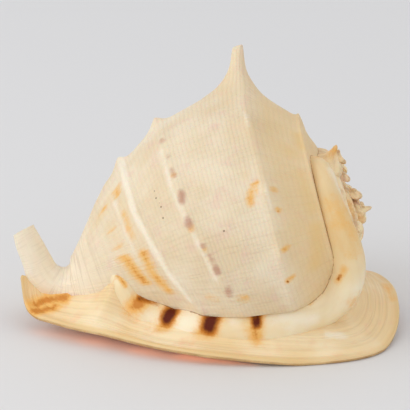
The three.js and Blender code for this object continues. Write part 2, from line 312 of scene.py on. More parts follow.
def placeBody(v, u):
    x, radius, angle, column = bodyAt(v, u)
    grown = 1 + (growth(angle) - 1) * coiling(x)
    reach = x + (grown - 1) * min(x - coil["stretchFrom"], 0)
    lift = 0.0
    fresh = column >= body["hidden"]
    if fresh:
        lip = oldLipAngle(x)
        step = body["stepHeight"] * stepShare(x) * math.exp(min(0, (lip - angle) / body["stepRun"]))
        lift += step * smooth(radius / 50)
        lift += relief(x, angle, radius * grown) * smooth((angle - lip) / 6 + 0.35) * smooth((radius - 40) / 20)
    p = axisPoint(reach, grown * radius + lift, angle)
    if x < coil["bendStart"]:
        p += noise.noise_vector(p * canalTip["wobbleScale"]) * canalTip["wobble"]
        heading = spine(x - 0.5)[0] - spine(x)[0]
        turn = math.radians(angle)
        nearSide = 0.6 * math.cos(turn) - 1.2 * math.sin(turn)
        p += heading * (2 * canalTip["slant"] * smooth((canalTip["from"] - x) / 10) * nearSide)
    if fresh and x < -28:
        inX, inSide, lift = hornShape(x, angle, radius * grown)
        turn = math.radians(horn["angle"])
        outward = axisUp * math.cos(turn) + side * math.sin(turn)
        sideways = side * math.cos(turn) - axisUp * math.sin(turn)
        leaning = outward * math.cos(horn["lean"]) + axis * math.sin(horn["lean"])
        p += leaning * lift + axis * inX + sideways * inSide
    if x > coil["bendStart"]:
        over = (p.z - coil["floor"]) / coil["floorBlend"]
        p.z = coil["floor"] + coil["floorBlend"] * (over if over > 30 else math.log1p(math.exp(over)))
    return p


def chartBody(v, u):
    x, radius, angle, column = bodyAt(v, min(u, 1 - 0.5 / columnCount))
    return (x / 100, angle / 360)


bodyPiece = loft("body", len(rowPlaces) - 1, columnCount, placeBody, chartBody)
print("body whorl", len(bodyPiece.data.polygons))

# the old lip, a thick roll that the last growth stage starts from
oldLip = {
    # place along the axis, radius, coil angle, thickness
    "path": [
        (-156, 32, 290, 4), (-154, 34.5, 277, 7), (-151, 34.8, 262, 9), (-146, 37.5, 251.5, 10.2),
        (-139, 41.3, 244, 11),
        (-129, 48, 239.5, 12), (-114, 56.5, 240, 12.3), (-92, 64, 239.3, 12.3), (-70, 65.3, 237, 12.2),
        (-54, 62, 233.5, 12), (-38, 57.5, 232.5, 11.6), (-27.3, 53, 239.5, 11.0), (-21.7, 48.5, 251, 10.6),
        (-20.5, 46.3, 266, 10.2), (-21.5, 46, 287, 9.0), (-22.6, 46, 306, 8.3), (-22.8, 46.4, 320, 7.8),
        (-24.5, 45.6, 330, 7.0),
        (-28, 44, 338, 6), (-34, 42, 345, 4.5),
    ],
    "steps": 190, "sides": 36,
}


def tubeRing(path, place):
    # centre, thickness, and two directions across a tube's path
    here = along(path, place)
    ahead, behind = along(path, min(place + 0.05, len(path) - 1)), along(path, max(place - 0.05, 0))
    centre = axisPoint(*here[:3])
    way = (axisPoint(*ahead[:3]) - axisPoint(*behind[:3])).normalized()
    middle = spine(here[0])[0]
    out = (centre - middle).normalized()
    across = way.cross(out).normalized()
    return centre, here[3], across.cross(way).normalized(), across


def placeOldLip(v, u):
    centre, thick, out, across = tubeRing(oldLip["path"], v * (len(oldLip["path"]) - 1))
    turn = u * 2 * math.pi
    thick *= 1 + 0.03 * noise.noise(centre * 0.06)
    return centre + (out * math.cos(turn) + across * math.sin(turn)) * thick


oldLipPiece = loft("oldLip", oldLip["steps"], oldLip["sides"], placeOldLip, lambda v, u: (v * 3.3, u))
print("old lip", len(oldLipPiece.data.polygons))

# the spire, a coil of the older whorls
spire = {"first": -760, "last": 500, "step": 6, "sides": 28, "reach": 44.0, "thick": 0.36, "top": -13.0}


def placeSpire(v, u):
    angle = mix(spire["first"], spire["last"], v)
    reach = spire["reach"] * coil["turnGain"] ** ((angle - coil["crown"]) / 360)
    thick = reach * spire["thick"]
    top = spire["top"] + 2 * math.exp(-((reach / 34) ** 3)) + 8 * math.exp(-((reach / 15) ** 2))
    top -= 8 * smooth((angle - 430) / 70)
    turn = u * 2 * math.pi
    swell = 1 + 0.07 * max(0.0, math.cos(math.radians(angle - 352) * 10)) ** 3 * max(0, math.sin(turn + 0.9)) ** 2
    rough = Vector((angle * 0.05, math.cos(turn) * 2.2, math.sin(turn) * 2.2))
    thick *= swell + 0.06 * noise.noise(rough) + 0.015 * noise.noise(rough * 3)
    centre = reach * (1 - spire["thick"])
    return axisPoint(top - reach * spire["thick"] + thick * math.cos(turn), centre + thick * math.sin(turn), angle)


spirePiece = loft("spire", (spire["last"] - spire["first"]) // spire["step"], spire["sides"], placeSpire,
                  lambda v, u: (mix(spire["first"], spire["last"], v) / 360, u))
print("spire", len(spirePiece.data.polygons))

# small spikes of the older whorls and the nipple on the apex
spikes = [
    # place, radius, coil angle, height, foot, tip, lean towards the spire in degrees
    (-18, 37, 349, 13, 10.5, 1.4, 36), (-13, 34, 384, 6, 6, 1, 25), (-12, 26, 352, 2.6, 6, 1.5, 40),
    (-8.5, 13, 350, 3, 6, 1.5, 30),
    (-12, 27, 262, 3, 7, 2, 45), (-13, 35, 414, 6, 5, 1, 25), (-13, 37, 446, 6, 5, 1, 25),
    (-11, 0.5, 0, 11, 9, 1.2, 90),
]


def placeSpike(spike):
    x, radius, angle, tall, foot, tip, lean = spike
    base = axisPoint(x, radius, angle)
    outward = (axisPoint(x, radius + 1, angle) - base).normalized()
    way = outward * math.cos(math.radians(lean)) + axis * math.sin(math.radians(lean))
    first = way.orthogonal().normalized()
    second = way.cross(first)

    def place(v, u):
        up = -0.3 + 1.3 * v
        wide = tip + (foot - tip) * (1 - max(up, 0)) ** 2.15 if v < 1 else tip * 0.35
        turn = u * 2 * math.pi
        wide *= 1 + 0.1 * noise.noise(Vector((math.cos(turn), math.sin(turn), x)))
        return base + way * (up * tall) + (first * math.cos(turn) + second * math.sin(turn)) * wide
    return place


spikePieces = []
for i, spike in enumerate(spikes):
    spikePieces.append(loft("spike%d" % i, 12, 16, placeSpike(spike), lambda v, u: (0.4 + v * 0.1, u)))

# the inner shield, a thin sheet spread at the near side
shield = {
    "margin": [
        (-110.5, -6, 29), (-108, -14, 16), (-102, -24, 11.5), (-87, -36, 10.8), (-62, -50, 10.1), (-32, -66, 8.6),
        (-3, -75, 6.5), (26, -78, 4.2), (55, -77, 1.8), (84, -70, 0.9), (102, -58, 1.2), (112, -38, 4.5),
        (116, -16, 11.6), (114, 12, 16.4), (104, 34, 17), (89, 47, 14),
    ],
    # where the upper face meets the shell, against the number of the margin's point
    "root": [
        (0, (-97, 0, 34)), (1, (-92, -3, 26)), (2, (-86, -10, 22.5)), (2.5, (-80.5, -16.2, 21.2)),
        (3, (-71.5, -22.4, 23.8)),
        (3.4, (-62.2, -28.4, 29)), (3.65, (-55.5, -34.2, 36.2)), (3.78, (-52.4, -37.2, 43)),
        (3.9, (-49.4, -38.4, 36)),
        (4.05, (-46, -39, 27)), (4.4, (-38, -38, 20)), (5, (-25, -46, 18)), (6, (0, -56, 20)), (7, (25, -58, 22)),
        (8, (48, -56, 24)), (9, (64, -46, 26)), (10, (73, -32, 30)), (11, (76, -18, 34)), (12, (76, 0, 36)),
        (13, (73, 16, 36)), (14, (66, 28, 32)), (15, (60, 36, 25)),
    ],
    "rail": [
        (-105, 1, 30), (-98, 1, 20), (-86, 4, 14), (-70, 8, 10), (-45, 13, 8), (-20, 16, 7), (5, 18, 6.5),
        (28, 19, 6.5),
        (46, 20, 7), (58, 22, 8), (63, 24, 9), (65, 26, 10), (66, 28, 11), (66, 30, 12), (65, 32, 12), (63, 34, 12),
    ],
    "thick": 3.4, "dish": 5.0, "steps": 240, "upper": 26, "edge": 6, "lower": 12,
}
shift = Vector((-1.33, -10.93, 0))


def onCurve(points, place):
    return Vector(along(points, place)) + shift


def between(table, place):
    for (p0, a), (p1, b) in zip(table, table[1:]):
        if place <= p1:
            return Vector(a).lerp(Vector(b), (place - p0) / (p1 - p0))
    return Vector(table[-1][1])


def bow(a, b, c, t):
    return a * (1 - t) ** 2 + b * (2 * t * (1 - t)) + c * t ** 2


def placeShield(v, u):
    place = v * (len(shield["margin"]) - 1)
    margin, rail = onCurve(shield["margin"], place), onCurve(shield["rail"], place)
    root = between(shield["root"], place) + shift
    margin.z = max(margin.z + 0.5 * noise.noise(Vector((place * 1.3, 0, 0))), shield["thick"] / 2)
    outward = margin - rail
    outward.z = 0
    outward.normalize()
    half = shield["thick"] / 2
    top, bottom = margin + Vector((0, 0, half)), margin - Vector((0, 0, half))
    total = shield["upper"] + shield["edge"] + shield["lower"]
    k = u * (total + 1)
    if k <= shield["upper"]:
        t = k / shield["upper"]
        dip = root.lerp(top, 0.6)
        dip.z -= shield["dish"]
        p = bow(root, dip, top, t)
        d = (p - margin).length
        p.z += 0.22 * math.sin(d * 1.1 + 2 * noise.noise(p * 0.03)) * smooth(d / 3) + 0.5 * noise.noise(p * 0.045)
        return p
    k -= shield["upper"]
    if k <= shield["edge"]:
        turn = math.pi * (0.5 - k / shield["edge"])
        return margin + outward * (half * math.cos(turn)) + Vector((0, 0, half * math.sin(turn)))
    t = (k - shield["edge"]) / shield["lower"]
    arch = bottom.lerp(rail, 0.5)
    arch.z += 3
    return bow(bottom, arch, rail, min(t, 1))


def chartShield(v, u):
    place = v * (len(shield["margin"]) - 1)
    total = shield["upper"] + shield["edge"] + shield["lower"]
    p = placeShield(v, u)
    margin = onCurve(shield["margin"], place)
    far = (p - margin).length / 100
    return (v * 3.6, far if u * (total + 1) < shield["upper"] + 3 else -far)


shieldColumns = shield["upper"] + shield["edge"] + shield["lower"] + 1
shieldPiece = loft("shield", shield["steps"], shieldColumns, placeShield, chartShield)
print("inner shield", len(shieldPiece.data.polygons))

# the outer lip, a thick rolled rim on the far side
outerLip = {
    "rim": [
        (-106, 13, 33), (-99, 16, 23), (-85, 18, 14), (-68, 36, 10), (-50, 58, 9.5), (-25, 77, 9.5), (11, 90, 9.5),
        (38, 91, 9.5), (62, 85, 9.5), (78, 70, 9.5), (88, 54, 10), (84, 42, 13),
    ],
    "thick": [4, 5, 7, 8.5, 9.5, 10, 10.5, 10.5, 10, 9.5, 8, 6],
    "edge": [
        (-101, 4, 31), (-94, 7, 19), (-84, 13, 12), (-66, 20, 8), (-48, 24, 6), (-22, 28, 5), (8, 31, 5), (30, 32, 5),
        (46, 33, 6), (57, 34, 7), (63, 35, 9), (66, 36, 12),
    ],
    "steps": 130, "round": 16, "under": 10,
}


def placeOuterLip(v, u):
    place = v * (len(outerLip["rim"]) - 1)
    centre, inner = onCurve(outerLip["rim"], place), onCurve(outerLip["edge"], place)
    r = along([(t,) for t in outerLip["thick"]], place)[0]
    r *= 1 + 0.03 * noise.noise(Vector((place * 1.1, 3, 0)))
    centre.z = max(centre.z, r)
    outward = centre - inner
    outward.z = 0
    outward.normalize()
    total = 2 + outerLip["round"] + outerLip["under"]
    k = round(u * total)
    if k == 0:
        return inner + Vector((0, 0, 10))
    if k == 1:
        return inner + Vector((0, 0, 3))
    k -= 2
    start = centre + Vector((0, 0, -r))
    if k < outerLip["under"]:
        t = k / outerLip["under"]
        low = inner + outward * 2.5
        middle = low.lerp(start, 0.5) + Vector((0, 0, 2))
        return bow(low, middle, start, t)
    turn = math.radians(mix(-90, 150, (k - outerLip["under"]) / (outerLip["round"] - 1)))
    return centre + outward * (r * math.cos(turn)) + Vector((0, 0, r * math.sin(turn)))


outerLipPiece = loft("outerLip", outerLip["steps"], 2 + outerLip["round"] + outerLip["under"], placeOuterLip,
                     lambda v, u: (v * 3.0, u))
print("outer lip", len(outerLipPiece.data.polygons))

# the room inside, the slit of the mouth, the canal's groove and the teeth
room = {"first": 236, "last": 506, "steps": 40, "across": 24, "low": -36, "high": -164, "wall": 6.0, "floor": 16.0}


def placeRoom(v, u):
    angle = mix(room["first"], room["last"], v)
    n = room["across"]
    k = round(u * 2 * (n + 1))
    outer = k > n
    j = k if k <= n else 2 * n + 1 - k
    x = mix(room["low"], room["high"], j / n)
    radius = interpolate([(px, pr) for px, pr in reversed(body["profile"])], x)
    grown = 1 + (coilSize(min(angle, 470)) - 1) * coiling(x)
    reachAlong = x + (grown - 1) * min(x - coil["stretchFrom"], 0)
    limit = (room["floor"] - spine(reachAlong)[0].z) / (math.cos(math.radians(angle)) * axis.x)
    most = min(min(coilSize(angle), grown + 0.03) * radius - room["wall"], limit if limit > 0 else 1e9)
    least = min(coilSize(angle - 360) * radius + 2, most - 2)
    bulge = math.sqrt(1 - 0.9 * (2 * j / n - 1) ** 4)
    return axisPoint(reachAlong, (least + most) / 2 + (most - least) / 2 * bulge * (1 if outer else -1), angle)


roomPiece = loft("room", room["steps"], 2 * (room["across"] + 1), placeRoom, lambda v, u: (v, u))


def placeSlot(v, u):
    place = v * 10
    near, far = onCurve(shield["rail"], place), onCurve(outerLip["edge"], place)
    high = 16 + 0.35 * max(0, near.z - 8)
    corner = round(u * 4) % 4
    return (near, far, far, near)[corner] + Vector((0, 0, (-8, -8, high, high)[corner]))


slotPiece = loft("slot", 60, 4, placeSlot, lambda v, u: (v, u))
groove = {"places": [-181, -189, -197, -206, -218, -228, -242], "sink": 5.0,
          "radius": [6.5, 7, 7, 6.4, 5.8, 5.4, 5.2]}


def placeGroove(v, u):
    place = v * (len(groove["places"]) - 1)
    x = along([(t,) for t in groove["places"]], place)[0]
    r = along([(t,) for t in groove["radius"]], place)[0]
    centre, up = spine(x)
    turn = u * 2 * math.pi
    return centre + up * (r * math.cos(turn) - groove["sink"]) + side * (r * math.sin(turn))


groovePiece = loft("groove", 50, 20, placeGroove, lambda v, u: (v, u))

# blunt teeth on the outer lip's edge and long folds on the shield's: count, first place, spacing, half sizes
teeth = {"lip": (7, 3.3, 0.825, (3.2, 5.5, 4.0)), "shield": (8, 2.4, 0.675, (1.8, 7.0, 3.0))}


def placeTooth(middle, half):
    def place(v, u):
        tilt, turn = math.pi * (v - 0.5), 2 * math.pi * u
        ring = math.cos(tilt)
        wide, tall = half[0] * ring * math.cos(turn), half[2] * ring * math.sin(turn)
        return middle + Vector((wide, half[1] * math.sin(tilt), tall))
    return place


toothPieces = {"lip": [], "shield": []}
for owner, (count, first, spacing, half) in teeth.items():
    line = outerLip["edge"] if owner == "lip" else shield["rail"]
    for i in range(count):
        tooth = placeTooth(onCurve(line, first + i * spacing), half)
        toothPieces[owner].append(loft("tooth", 10, 14, tooth, lambda v, u: (0.5, -0.05)))
print("hollow")


def linear(code, alpha=1.0):
    parts = [int(code[i:i + 2], 16) / 255 for i in (1, 3, 5)]
    return (*(c / 12.92 if c < 0.04045 else ((c + 0.055) / 1.055) ** 2.4 for c in parts), alpha)


def add(tree, kind, feeds=None, **settings):
    node = tree.nodes.new("ShaderNode" + kind)
    for name, value in settings.items():
        setattr(node, name, value)
    for socket, value in (feeds or {}).items():
        if isinstance(value, bpy.types.NodeSocket):
            tree.links.new(value, node.inputs[socket])
        else:
            node.inputs[socket].default_value = value
    return node


# What an old, sun-dried shell shows the eye: chalky aragonite, cream with a dull satin surface, fine spiral threads,
# growth lines across them, and stains that soak in along the growth lines.
# A thread is its spacing in millimetres, drawn coarser than a real one so that it shows. Streaks are noise cells:
# how many lie in 100 mm of the chart's first direction and in the whole of its second.
looks = {
    # dried shell of the body whorl and the canal
    "driedShell": {
        "light": "#efdfc2", "dark": "#e7d2ae", "blush": "#ebcbb6", "thread": 2.8, "threadDark": 0.032,
        "streaks": (5.0, 250.0, 1), "streakDark": 0.045, "rough": 0.62, "relief": 0.4, "canal": True,
        # pin-prick holes left by worms, as points in millimetres
        "specks": [(-31.2, -47, 93.6), (-30, -50.2, 90.2), (-27.6, -53.4, 88.2), (-27, -55.5, 86.5),
                   (-25.8, -59.4, 81),
                   (9.6, -78.1, 79.3)],
    },
    # polished callus of the old lip
    "polishedCallus": {
        "light": "#fbefd3", "dark": "#f2dcb0", "blush": "#f3d9ae", "thread": 0, "threadDark": 0.0,
        "streaks": (2.0, 9.0, 1), "streakDark": 0.05, "rough": 0.42, "relief": 0.15,
    },
    # worn, pitted whorls of the spire
    "wornSpire": {
        "light": "#fdeac2", "dark": "#f3d3a2", "blush": "#dcae86", "thread": 0, "threadDark": 0.0,
        "streaks": (24.0, 7.0, 1), "streakDark": 0.24, "rough": 0.7, "relief": 0.9,
    },
    # enamelled callus of the inner shield
    "enamelShield": {
        "light": "#fae6bf", "dark": "#f3d6a4", "blush": "#f6cda2", "thread": 0, "threadDark": 0.0,
        "streaks": (1.1, 60.0, 1), "streakDark": 0.075, "rough": 0.40, "relief": 0.4,
    },
    # the same enamel on the outer lip, a little warmer
    "enamelLip": {
        "light": "#f6e0b8", "dark": "#eccb9a", "blush": "#efb68a", "thread": 0, "threadDark": 0.0,
        "streaks": (1.5, 7.0, 1), "streakDark": 0.07, "rough": 0.38, "relief": 0.2,
    },
    # glossy peach lining of the mouth
    "mouthLining": {
        "light": "#eeb088", "dark": "#d98d62", "blush": "#c9744c", "thread": 0, "threadDark": 0.0,
        "streaks": (2.0, 8.0, 1), "streakDark": 0.06, "rough": 0.3, "relief": 0.1,
    },
}
grains = {"clouds": 41.6667, "mottle": 9.09091, "grit": 1.11111}  # noise cell in millimetres
stainShadeAndHighlightColours = {"growthLine": "#8a5a30", "wormHole": "#6b5038", "orange": "#f0b75f", "deepOrange": "#c8751f",
                "brown": "#581200", "halo": "#c47213", "purple": "#c09079",
                # pale is the shell's own white and also painted highlights
                "paleAndHighlight": "#fbf0da", "peach": "#f0996a", "ramp": "#e9c88f", "canalLine": "#a98d68",
                "canalBase": "#fff0d6",
                # painted shade for creases and under the shield's rim
                "creaseShade": "#a47445"}


def shellFinish(name, look):
    material = bpy.data.materials.new(name)
    material.use_nodes = True
    tree = material.node_tree
    shader = tree.nodes["Principled BSDF"]
    place = add(tree, "TexCoord").outputs["Object"]
    chart = add(tree, "UVMap", uv_map="growth").outputs[0]
    clouds = add(tree, "TexNoise", {"Vector": place, "Scale": 1 / (grains["clouds"] * mm), "Detail": 3.0}).outputs[0]
    mottle = add(tree, "TexNoise", {"Vector": place, "Scale": 1 / (grains["mottle"] * mm), "Detail": 4.0}).outputs[0]
    grit = add(tree, "TexNoise", {"Vector": place, "Scale": 1 / (grains["grit"] * mm), "Detail": 2.0}).outputs[0]
    stretched = add(tree, "Mapping", {"Vector": chart, "Scale": look["streaks"]}).outputs[0]
    streaks = add(tree, "TexNoise", {"Vector": stretched, "Scale": 1.0, "Detail": 2.5}).outputs[0]

    share = add(tree, "MapRange", {0: clouds, 1: 0.35, 2: 0.65}, interpolation_type="SMOOTHSTEP").outputs[0]
    colour = add(tree, "Mix", {0: share, 6: linear(look["light"]), 7: linear(look["dark"])},
                 data_type="RGBA").outputs[2]
    share = add(tree, "MapRange", {0: mottle, 1: 0.5, 2: 0.8, 4: 0.7}, interpolation_type="SMOOTHSTEP").outputs[0]
    colour = add(tree, "Mix", {0: share, 6: colour, 7: linear(look["blush"])}, data_type="RGBA").outputs[2]

    # the first attribute holds brown, orange and purple stains and, in alpha, pale marks that include painted
    # highlights; the second holds ramp, canal, painted shade in creases, and peach
    stain = add(tree, "Attribute", attribute_name="stain")
    tone = add(tree, "Attribute", attribute_name="tone")
    marks = add(tree, "SeparateColor", {0: stain.outputs["Color"]}).outputs
    zones = add(tree, "SeparateColor", {0: tone.outputs["Color"]}).outputs
    colour = add(tree, "Mix", {0: zones[0], 6: colour, 7: linear(stainShadeAndHighlightColours["ramp"])}, data_type="RGBA").outputs[2]
    colour = add(tree, "Mix", {0: zones[1], 6: colour, 7: linear(stainShadeAndHighlightColours["canalBase"])},
                 data_type="RGBA").outputs[2]

    # growth lines
    line = add(tree, "MapRange", {0: streaks, 1: 0.42, 2: 0.68}, interpolation_type="SMOOTHSTEP").outputs[0]
    dark = add(tree, "Math", {0: line, 1: look["streakDark"]}, operation="MULTIPLY").outputs[0]
    if look.get("canal"):
        # they show most low on the whorl
        around = add(tree, "SeparateXYZ", {0: chart}).outputs[1]
        low = add(tree, "MapRange", {0: around, 1: 0.95, 2: 0.75, 3: 0.4, 4: 0.8}).outputs[0]
        dark = add(tree, "Math", {0: dark, 1: low}, operation="MULTIPLY").outputs[0]
    height = line
    if look["thread"]:
        # spiral threads follow the coil
        across = add(tree, "SeparateXYZ", {0: chart}).outputs[0]
        bent = add(tree, "Math", {0: across, 1: 200 * math.pi / look["thread"]}, operation="MULTIPLY").outputs[0]
        bent = add(tree, "Math", {0: mottle, 1: 5.0, 2: bent}, operation="MULTIPLY_ADD").outputs[0]
        wave = add(tree, "Math", {0: bent}, operation="SINE").outputs[0]
        wave = add(tree, "MapRange", {0: wave, 1: -0.5, 2: 1.0}, interpolation_type="SMOOTHSTEP").outputs[0]
        plain = add(tree, "Math", {0: 1.0, 1: zones[1]}, operation="SUBTRACT").outputs[0]
        wave = add(tree, "Math", {0: wave, 1: plain}, operation="MULTIPLY").outputs[0]
        dark = add(tree, "Math", {0: wave, 1: look["threadDark"], 2: dark}, operation="MULTIPLY_ADD").outputs[0]
        # the worn ramp has lost most of both
        worn = add(tree, "Math", {0: zones[0], 1: -0.75, 2: 1.0}, operation="MULTIPLY_ADD").outputs[0]
        dark = add(tree, "Math", {0: dark, 1: worn}, operation="MULTIPLY").outputs[0]
        height = add(tree, "Math", {0: wave, 1: 0.8, 2: line}, operation="MULTIPLY_ADD").outputs[0]
        height = add(tree, "Math", {0: height, 1: worn}, operation="MULTIPLY").outputs[0]
    uneven = add(tree, "MapRange", {0: clouds, 1: 0.3, 2: 0.65, 3: 0.35, 4: 1.6}).outputs[0]
    dark = add(tree, "Math", {0: dark, 1: uneven}, operation="MULTIPLY").outputs[0]
    shade = add(tree, "Mix", {0: dark, 6: (1, 1, 1, 1), 7: linear(stainShadeAndHighlightColours["growthLine"])},
                data_type="RGBA").outputs[2]
    colour = add(tree, "Mix", {0: 1.0, 6: colour, 7: shade}, data_type="RGBA", blend_type="MULTIPLY").outputs[2]
    if look.get("canal"):
        # fine grey lines that run round the canal and its root
        ringed = add(tree, "Mapping", {"Vector": chart, "Scale": (125.0, 5.0, 1)}).outputs[0]
        rings = add(tree, "TexNoise", {"Vector": ringed, "Scale": 1.0, "Detail": 1.5}).outputs[0]
        rings = add(tree, "MapRange", {0: rings, 1: 0.48, 2: 0.68}, interpolation_type="SMOOTHSTEP").outputs[0]
        rings = add(tree, "Math", {0: rings, 1: zones[1]}, operation="MULTIPLY").outputs[0]
        root = add(tree, "MapRange", {0: across, 1: -2.05, 2: -1.9, 3: 0.3, 4: 1.0}).outputs[0]
        rings = add(tree, "Math", {0: rings, 1: root}, operation="MULTIPLY").outputs[0]
        share = add(tree, "Math", {0: rings, 1: 0.3}, operation="MULTIPLY").outputs[0]
        colour = add(tree, "Mix", {0: share, 6: colour, 7: linear(stainShadeAndHighlightColours["canalLine"])},
                     data_type="RGBA").outputs[2]
        height = add(tree, "Math", {0: rings, 1: -0.5, 2: height}, operation="MULTIPLY_ADD").outputs[0]

    # stains, painted highlights and painted shade: each field is 1 in the middle and 0 at its edge, and noise breaks
    # the edge
    ragged = add(tree, "Math", {0: mottle, 1: 2.4, 2: -1.75}, operation="MULTIPLY_ADD").outputs[0]
    ragged = add(tree, "Math", {0: line, 1: 0.3, 2: ragged}, operation="MULTIPLY_ADD").outputs[0]
    rough = add(tree, "Math", {0: grit, 1: 0.8, 2: ragged}, operation="MULTIPLY_ADD").outputs[0]
    layers = [
        # pale: the shell's own white, and painted highlights on ridges and the callus
        (stain.outputs["Alpha"], 0.4, 0.0, 0.8, 0.7, "paleAndHighlight"),
        (marks[1], 0.6, -0.4, 0.9, 0.9, "orange"),
        (marks[1], 1.0, 0.55, 1.4, 0.75, "deepOrange"),
        (marks[2], 0.4, -0.1, 0.8, 0.8, "purple"),
        (marks[0], 0.25, -0.4, 0.2, 0.85, "halo"),
        (marks[0], 0.3, -0.05, 0.65, 0.97, "brown"),
        # painted shade in creases and under the shield's rim, with some dirt in the creases
        (zones[2], 0.3, 0.3, 1.0, 0.75, "creaseShade"),
        (tone.outputs["Alpha"], 0.0, 0.0, 1.0, 0.9, "peach"),
    ]
    for field, broken, low, high, most, tint in layers:
        field = add(tree, "Math", {0: rough, 1: broken, 2: field}, operation="MULTIPLY_ADD").outputs[0]
        share = add(tree, "MapRange", {0: field, 1: low, 2: high, 4: most},
                    interpolation_type="SMOOTHSTEP").outputs[0]
        colour = add(tree, "Mix", {0: share, 6: colour, 7: linear(stainShadeAndHighlightColours[tint])}, data_type="RGBA").outputs[2]

    for spot in look.get("specks", []):
        far = add(tree, "VectorMath", {0: place, 1: [c * mm for c in spot]}, operation="DISTANCE").outputs["Value"]
        share = add(tree, "MapRange", {0: far, 1: 0.75 * mm, 2: 0.35 * mm, 4: 0.8},
                    interpolation_type="SMOOTHSTEP").outputs[0]
        colour = add(tree, "Mix", {0: share, 6: colour, 7: linear(stainShadeAndHighlightColours["wormHole"])},
                     data_type="RGBA").outputs[2]

    height = add(tree, "Math", {0: grit, 1: 0.5, 2: height}, operation="MULTIPLY_ADD").outputs[0]
    bump = add(tree, "Bump", {"Height": height, "Strength": 0.5, "Distance": look["relief"] * mm}).outputs[0]
    roughness = add(tree, "Math", {0: mottle, 1: 0.2, 2: look["rough"] - 0.1}, operation="MULTIPLY_ADD").outputs[0]
    tree.links.new(colour, shader.inputs["Base Color"])
    tree.links.new(roughness, shader.inputs["Roughness"])
    tree.links.new(bump, shader.inputs["Normal"])
    # light soaks a few millimetres into the thin wall and comes back warm
    for socket, value in {"IOR": 1.5, "Specular IOR Level": 0.15, "Subsurface Weight": 0.15,
                          "Subsurface Radius": (1.0, 0.42, 0.22), "Subsurface Scale": 3 * mm}.items():
        shader.inputs[socket].default_value = value
    return material


finishes = {name: shellFinish(name, look) for name, look in looks.items()}
for name, pieces in {
    "driedShell": [bodyPiece], "polishedCallus": [oldLipPiece], "wornSpire": [spirePiece] + spikePieces,
    "enamelShield": [shieldPiece] + toothPieces["shield"], "enamelLip": [outerLipPiece] + toothPieces["lip"],
    "mouthLining": [roomPiece, slotPiece, groovePiece],
}.items():
    for piece in pieces:
        piece.data.materials.append(finishes[name])


def cutOrJoin(whole, piece, operation):
    change = whole.modifiers.new("change", "BOOLEAN")
    change.object, change.operation, change.solver = piece, operation, "MANIFOLD"
    change.material_mode = "TRANSFER"
    bpy.context.view_layer.update()
    made = bpy.data.meshes.new_from_object(whole.evaluated_get(bpy.context.evaluated_depsgraph_get()))
    whole.modifiers.clear()
    whole.data = made
    bpy.data.objects.remove(piece)
    print("  ", operation, len(made.polygons))


shell = bodyPiece
for piece in [oldLipPiece, spirePiece, shieldPiece, outerLipPiece] + spikePieces:
    cutOrJoin(shell, piece, "UNION")
for piece in [roomPiece, slotPiece, groovePiece]:
    cutOrJoin(shell, piece, "DIFFERENCE")
for piece in toothPieces["lip"] + toothPieces["shield"]:
    cutOrJoin(shell, piece, "UNION")
shell.data.set_sharp_from_angle(angle=math.radians(48))
print("joined", len(shell.data.polygons))

